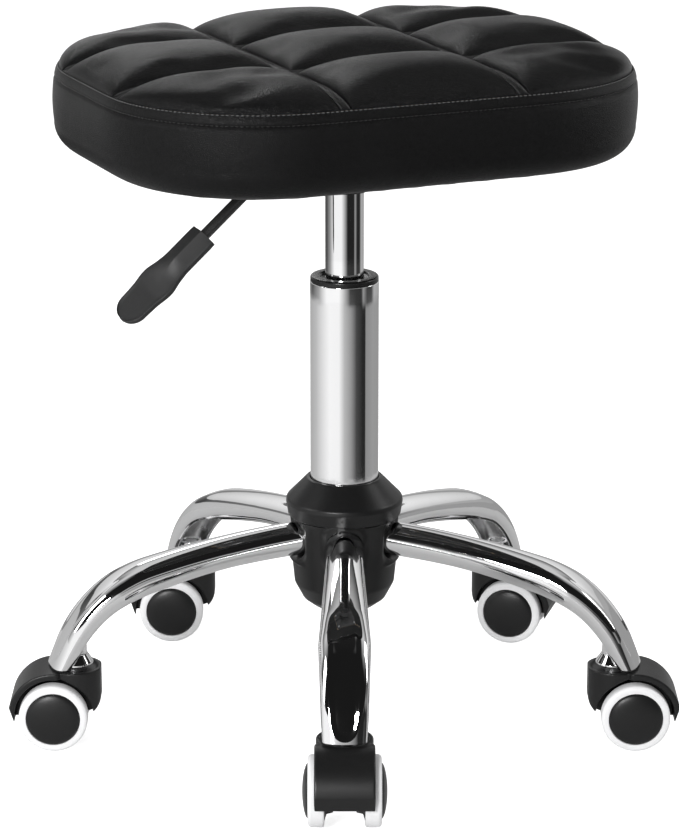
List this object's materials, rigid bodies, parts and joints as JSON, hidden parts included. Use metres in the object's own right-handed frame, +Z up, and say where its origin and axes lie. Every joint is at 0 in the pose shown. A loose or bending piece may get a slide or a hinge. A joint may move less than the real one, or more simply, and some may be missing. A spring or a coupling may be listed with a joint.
{
  "type": "swivel stool",
  "caption": "Height-adjustable swivel stool: quilted rounded seat on a gas lift, curved chrome legs and twin-wheel casters.",
  "frame": {"origin": "the point on the floor under the column axis", "axes": "+Z up along the column, +X to the right of the front leg, -Y along the front leg; the seat's long side is turned 23.6 degrees from +X at rest"},
  "size_m": [0.4878, 0.4502, 0.5102],
  "materials": {
    "chrome": "bright chrome plate",
    "bare_steel": "plain mild steel",
    "zinc_steel": "zinc-plated steel",
    "painted_steel": "satin black powder coat",
    "hub_plastic": "satin moulded nylon",
    "caster_plastic": "satin moulded nylon",
    "lever_plastic": "fine-textured moulded plastic",
    "bush_plastic": "smooth moulded acetal",
    "seal_rubber": "moulded rubber",
    "tread": "light grey soft tread",
    "plywood": "raw plywood",
    "foam": "open-cell foam",
    "cover_leather": "fine-grained synthetic leather, satin",
    "dust_cloth": "thin non-woven cloth"
  },
  "bodies": {
    "base": {"hub_core": "bare_steel", "hub_shell": "hub_plastic", "hub_cap": "hub_plastic", "leg_front": "chrome", "leg_right": "chrome", "leg_back_right": "chrome", "leg_back_left": "chrome", "leg_left": "chrome", "leg_sockets": "chrome", "caster_stems": "zinc_steel", "grip_rings": "zinc_steel", "stand_tube": "chrome", "guide_bush": "bush_plastic", "bearing_race": "zinc_steel"},
    "swivel": {"piston_rod": "zinc_steel", "piston": "bush_plastic", "thrust_bearing": "zinc_steel", "retaining_clip": "zinc_steel"},
    "seat": {"gas_cylinder": "chrome", "rod_seal": "seal_rubber", "seat_plate": "painted_steel", "plate_bolts": "zinc_steel", "t_nuts": "zinc_steel", "seat_board": "plywood", "seat_foam": "foam", "seat_cover": "cover_leather", "dust_cover": "dust_cloth"},
    "valve": {"release_button": "zinc_steel"},
    "lever": {"lever_rod": "painted_steel", "lever_paddle": "lever_plastic"},
    "caster_front": {"hood_front": "caster_plastic", "axle_front": "zinc_steel"},
    "rolling_a_front": {"wheel_a_front": "caster_plastic", "tyre_a_front": "tread"},
    "rolling_b_front": {"wheel_b_front": "caster_plastic", "tyre_b_front": "tread"},
    "caster_right": {"hood_right": "caster_plastic", "axle_right": "zinc_steel"},
    "rolling_a_right": {"wheel_a_right": "caster_plastic", "tyre_a_right": "tread"},
    "rolling_b_right": {"wheel_b_right": "caster_plastic", "tyre_b_right": "tread"},
    "caster_back_right": {"hood_back_right": "caster_plastic", "axle_back_right": "zinc_steel"},
    "rolling_a_back_right": {"wheel_a_back_right": "caster_plastic", "tyre_a_back_right": "tread"},
    "rolling_b_back_right": {"wheel_b_back_right": "caster_plastic", "tyre_b_back_right": "tread"},
    "caster_back_left": {"hood_back_left": "caster_plastic", "axle_back_left": "zinc_steel"},
    "rolling_a_back_left": {"wheel_a_back_left": "caster_plastic", "tyre_a_back_left": "tread"},
    "rolling_b_back_left": {"wheel_b_back_left": "caster_plastic", "tyre_b_back_left": "tread"},
    "caster_left": {"hood_left": "caster_plastic", "axle_left": "zinc_steel"},
    "rolling_a_left": {"wheel_a_left": "caster_plastic", "tyre_a_left": "tread"},
    "rolling_b_left": {"wheel_b_left": "caster_plastic", "tyre_b_left": "tread"}
  },
  "joints": [
    {"name": "seat_swivel", "type": "hinge", "parent": "base", "child": "swivel", "pos_m": [0, 0, 0.1], "axis": [0, 0, 1], "continuous": true},
    {"name": "seat_height", "type": "slide", "parent": "swivel", "child": "seat", "axis": [0, 0, 1], "range_m": [-0.055, 0.075]},
    {"name": "lever_lift", "type": "hinge", "parent": "seat", "child": "lever", "pos_m": [-0.02749, -0.01201, 0.41836], "axis": [-0.4003, 0.9164, 0], "range_deg": [0, 6.5], "stiffness_Nm_per_rad": 1, "springref_deg": -6.88},
    {"name": "valve_press", "type": "slide", "parent": "seat", "child": "valve", "axis": [0, 0, -1], "range_m": [0, 0.0035]},
    {"name": "caster_swivel_front", "type": "hinge", "parent": "base", "child": "caster_front", "pos_m": [0, -0.206, 0.05], "axis": [0, 0, 1], "continuous": true},
    {"name": "wheel_spin_a_front", "type": "hinge", "parent": "caster_front", "child": "rolling_a_front", "pos_m": [0, -0.221, 0.025], "axis": [1, 0, 0], "continuous": true},
    {"name": "wheel_spin_b_front", "type": "hinge", "parent": "caster_front", "child": "rolling_b_front", "pos_m": [0, -0.221, 0.025], "axis": [1, 0, 0], "continuous": true},
    {"name": "caster_swivel_right", "type": "hinge", "parent": "base", "child": "caster_right", "pos_m": [0.19592, -0.06366, 0.05], "axis": [0, 0, 1], "continuous": true},
    {"name": "wheel_spin_a_right", "type": "hinge", "parent": "caster_right", "child": "rolling_a_right", "pos_m": [0.21092, -0.06366, 0.025], "axis": [0, 1, 0], "continuous": true},
    {"name": "wheel_spin_b_right", "type": "hinge", "parent": "caster_right", "child": "rolling_b_right", "pos_m": [0.21092, -0.06366, 0.025], "axis": [0, 1, 0], "continuous": true},
    {"name": "caster_swivel_back_right", "type": "hinge", "parent": "base", "child": "caster_back_right", "pos_m": [0.12108, 0.16666, 0.05], "axis": [0, 0, 1], "continuous": true},
    {"name": "wheel_spin_a_back_right", "type": "hinge", "parent": "caster_back_right", "child": "rolling_a_back_right", "pos_m": [0.1355, 0.16252, 0.025], "axis": [0.2756, 0.9613, 0], "continuous": true},
    {"name": "wheel_spin_b_back_right", "type": "hinge", "parent": "caster_back_right", "child": "rolling_b_back_right", "pos_m": [0.1355, 0.16252, 0.025], "axis": [0.2756, 0.9613, 0], "continuous": true},
    {"name": "caster_swivel_back_left", "type": "hinge", "parent": "base", "child": "caster_back_left", "pos_m": [-0.12108, 0.16666, 0.05], "axis": [0, 0, 1], "continuous": true},
    {"name": "wheel_spin_a_back_left", "type": "hinge", "parent": "caster_back_left", "child": "rolling_a_back_left", "pos_m": [-0.13608, 0.16666, 0.025], "axis": [0, -1, 0], "continuous": true},
    {"name": "wheel_spin_b_back_left", "type": "hinge", "parent": "caster_back_left", "child": "rolling_b_back_left", "pos_m": [-0.13608, 0.16666, 0.025], "axis": [0, -1, 0], "continuous": true},
    {"name": "caster_swivel_left", "type": "hinge", "parent": "base", "child": "caster_left", "pos_m": [-0.19592, -0.06366, 0.05], "axis": [0, 0, 1], "continuous": true},
    {"name": "wheel_spin_a_left", "type": "hinge", "parent": "caster_left", "child": "rolling_a_left", "pos_m": [-0.21092, -0.06366, 0.025], "axis": [0, -1, 0], "continuous": true},
    {"name": "wheel_spin_b_left", "type": "hinge", "parent": "caster_left", "child": "rolling_b_left", "pos_m": [-0.21092, -0.06366, 0.025], "axis": [0, -1, 0], "continuous": true}
  ],
  "couplings": [
    {"joint": "valve_press", "follows": "lever_lift", "m_per_rad": 0.03}
  ]
}
